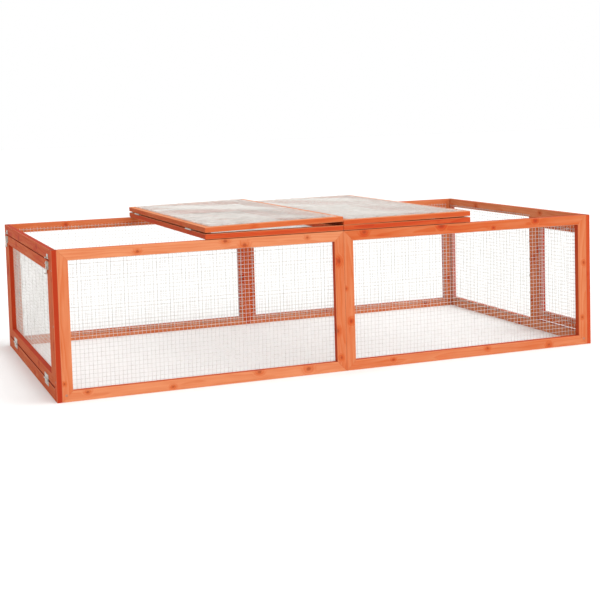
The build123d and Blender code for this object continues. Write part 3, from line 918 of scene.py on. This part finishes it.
def cross_screws(name, node, body):
    """Countersunk screws with a cross recess, one for each solid of the CAD node. A head is a
    grid of rings and spokes. Its height is a shallow dome that falls with the square of the
    radius, less a sink inside two crossed slots that is deepest in the middle. Below it are a
    cone and a plain shank. Axis, radius and both ends are measured on the CAD solid."""
    angle = np.arange(spokes) * 2 * math.pi / spokes
    here = np.arange(spokes)
    after = (here + 1) % spokes
    all_points, all_faces = [], []
    offset = 0
    for corners in node_solids(node):
        middle = corners.mean(axis=0)
        _, _, axes = np.linalg.svd(corners - middle, full_matrices=False)
        axis = axes[0]
        height = (corners - middle) @ axis
        off_axis = corners - middle - height[:, None] * axis
        spread = np.linalg.norm(off_axis - off_axis.mean(axis=0), axis=1)
        if height[np.argmax(spread)] < 0:
            axis, height = -axis, -height
        head = spread.max()
        top, bottom = height.max(), height.min()
        centre = middle + off_axis.mean(axis=0)
        first = np.cross(axis, [0.31, 0.87, 0.39])      # no screw runs along this
        first /= np.linalg.norm(first)
        second = np.cross(axis, first)
        shank = head / 2
        radii = head_rings * head
        x = radii[:, None] * np.cos(angle)
        y = radii[:, None] * np.sin(angle)
        across = np.minimum(np.abs(x), np.abs(y)) / head
        along = np.maximum(np.abs(x), np.abs(y)) / head
        in_slot = (across < slot_half_width) & (along < slot_reach)
        sink = np.where(in_slot, slot_depth * head * (1 - along), 0)
        levels = (top - dome_rise * head * head_rings ** 2)[:, None] - sink
        under = [(shank, top - head + shank), (shank, bottom)]
        x = np.concatenate([x, [r * np.cos(angle) for r, _ in under]])
        y = np.concatenate([y, [r * np.sin(angle) for r, _ in under]])
        levels = np.concatenate([levels, [np.full(spokes, h) for _, h in under]])
        rings = centre + x[..., None] * first + y[..., None] * second + levels[..., None] * axis
        pit = centre + axis * (top - pit_depth * head)
        tip = centre + axis * bottom
        all_points.append(np.concatenate([rings.reshape(-1, 3), [pit, tip]]))
        row = np.arange(len(rings) - 1)[:, None] * spokes
        a, b, c, d = row + here, row + after, row + after + spokes, row + here + spokes
        walls = np.concatenate([np.stack([a, c, b], -1), np.stack([a, d, c], -1)]).reshape(-1, 3)
        base = len(rings) * spokes
        last = base - spokes
        pit_fan = np.stack([np.full(spokes, base), here, after], -1)
        tip_fan = np.stack([np.full(spokes, base + 1), last + after, last + here], -1)
        all_faces.append(np.concatenate([walls, pit_fan, tip_fan]) + offset)
        offset += base + 2
    piece = new_piece(
        name, np.concatenate(all_points), np.concatenate(all_faces), screw_zinc, body,
    )
    recalculate(piece)
    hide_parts(node)


for node, body in (
    ("frame_screws", "run"),
    ("fixed_fitting_screws", "run"),
    ("left_lid_screws", "left_lid"),
    ("right_lid_screws", "right_lid"),
    ("left_door_screws", "left_door"),
    ("right_door_screws", "right_door"),
):
    cross_screws(node.replace("screws", "cross_screws"), node, body)


# ================================================================ floor, light and camera
def pale_floor():
    """Smooth white studio board: no gloss to speak of, with a trace of unevenness."""
    material, tree, shader = new_material("white_studio_board")
    place = add(tree, "ShaderNodeTexCoord")
    mottle = add(tree, "ShaderNodeTexNoise", {"Vector": place.outputs["Object"], "Scale": 3.0})
    tint = add(tree, "ShaderNodeMix", {
        "Factor": mottle.outputs[0],
        6: linear("E8E8E7"),
        7: linear("E4E4E3"),
    }, data_type="RGBA")
    tree.links.new(tint.outputs[2], shader.inputs["Base Color"])
    shader.inputs["Roughness"].default_value = 0.9
    return material


floor_half = 30.0
floor_mesh = bpy.data.meshes.new("floor")
floor_mesh.from_pydata(
    [(-floor_half, -floor_half, 0), (floor_half, -floor_half, 0),
     (floor_half, floor_half, 0), (-floor_half, floor_half, 0)],
    [], [(0, 1, 2, 3)],
)
floor_mesh.materials.append(pale_floor())
floor = bpy.data.objects.new("floor", floor_mesh)
bpy.context.scene.collection.objects.link(floor)

# The studio: white to the camera. Other rays get light that is strongest from above, a little
# from the right and the front.
world = bpy.data.worlds.new("studio")
world.use_nodes = True
bpy.context.scene.world = world
studio = world.node_tree
studio.nodes.clear()
direction = add(studio, "ShaderNodeTexCoord")
towards_key = add(studio, "ShaderNodeVectorMath", {
    0: direction.outputs["Generated"],
    1: (0.45, -0.35, 0.82),
}, operation="DOT_PRODUCT")
level = add(studio, "ShaderNodeMapRange", {
    "Value": towards_key.outputs["Value"],
    "From Min": -1.0,
    "From Max": 1.0,
    "To Min": 0.44,
    "To Max": 1.28,
})
lit = add(studio, "ShaderNodeBackground", {"Color": linear("FFFFFF"), "Strength": level.outputs[0]})
seen = add(studio, "ShaderNodeBackground", {"Color": linear("FFFFFF"), "Strength": 1.0})
ray = add(studio, "ShaderNodeLightPath")
both = add(studio, "ShaderNodeMixShader", {
    0: ray.outputs["Is Camera Ray"],
    1: lit.outputs[0],
    2: seen.outputs[0],
})
add(studio, "ShaderNodeOutputWorld", {"Surface": both.outputs[0]})


def soft_sun(name, towards, strength, spread_degrees):
    """A far light from one direction, as wide as a large softbox, so that its shadows are soft."""
    light = bpy.data.lights.new(name, "SUN")
    light.energy = strength
    light.angle = math.radians(spread_degrees)
    lamp = bpy.data.objects.new(name, light)
    bpy.context.scene.collection.objects.link(lamp)
    lamp.rotation_euler = Vector(towards).to_track_quat("Z", "Y").to_euler()


soft_sun("key", (0.45, -0.60, 0.66), 2.05, 90.0)

camera_data = bpy.data.cameras.new("camera")
camera_data.lens = 72.06
camera_data.sensor_width = 36.0
camera_data.shift_y = -1 / 6
camera_data.clip_end = 100.0
camera = bpy.data.objects.new("camera", camera_data)
bpy.context.scene.collection.objects.link(camera)
camera_yaw = math.radians(21.17)       # to the right of straight on
camera_pitch = math.radians(4.144)     # downwards
camera_roll = math.radians(-1.603)
camera.matrix_world = (
    Matrix.Translation((-1.4985, -3.993, 0.828))
    @ Euler((math.pi / 2 - camera_pitch, 0.0, -camera_yaw)).to_matrix().to_4x4()
    @ Matrix.Rotation(camera_roll, 4, "Z")
)
bpy.context.scene.camera = camera
bpy.context.scene.view_settings.view_transform = "Standard"
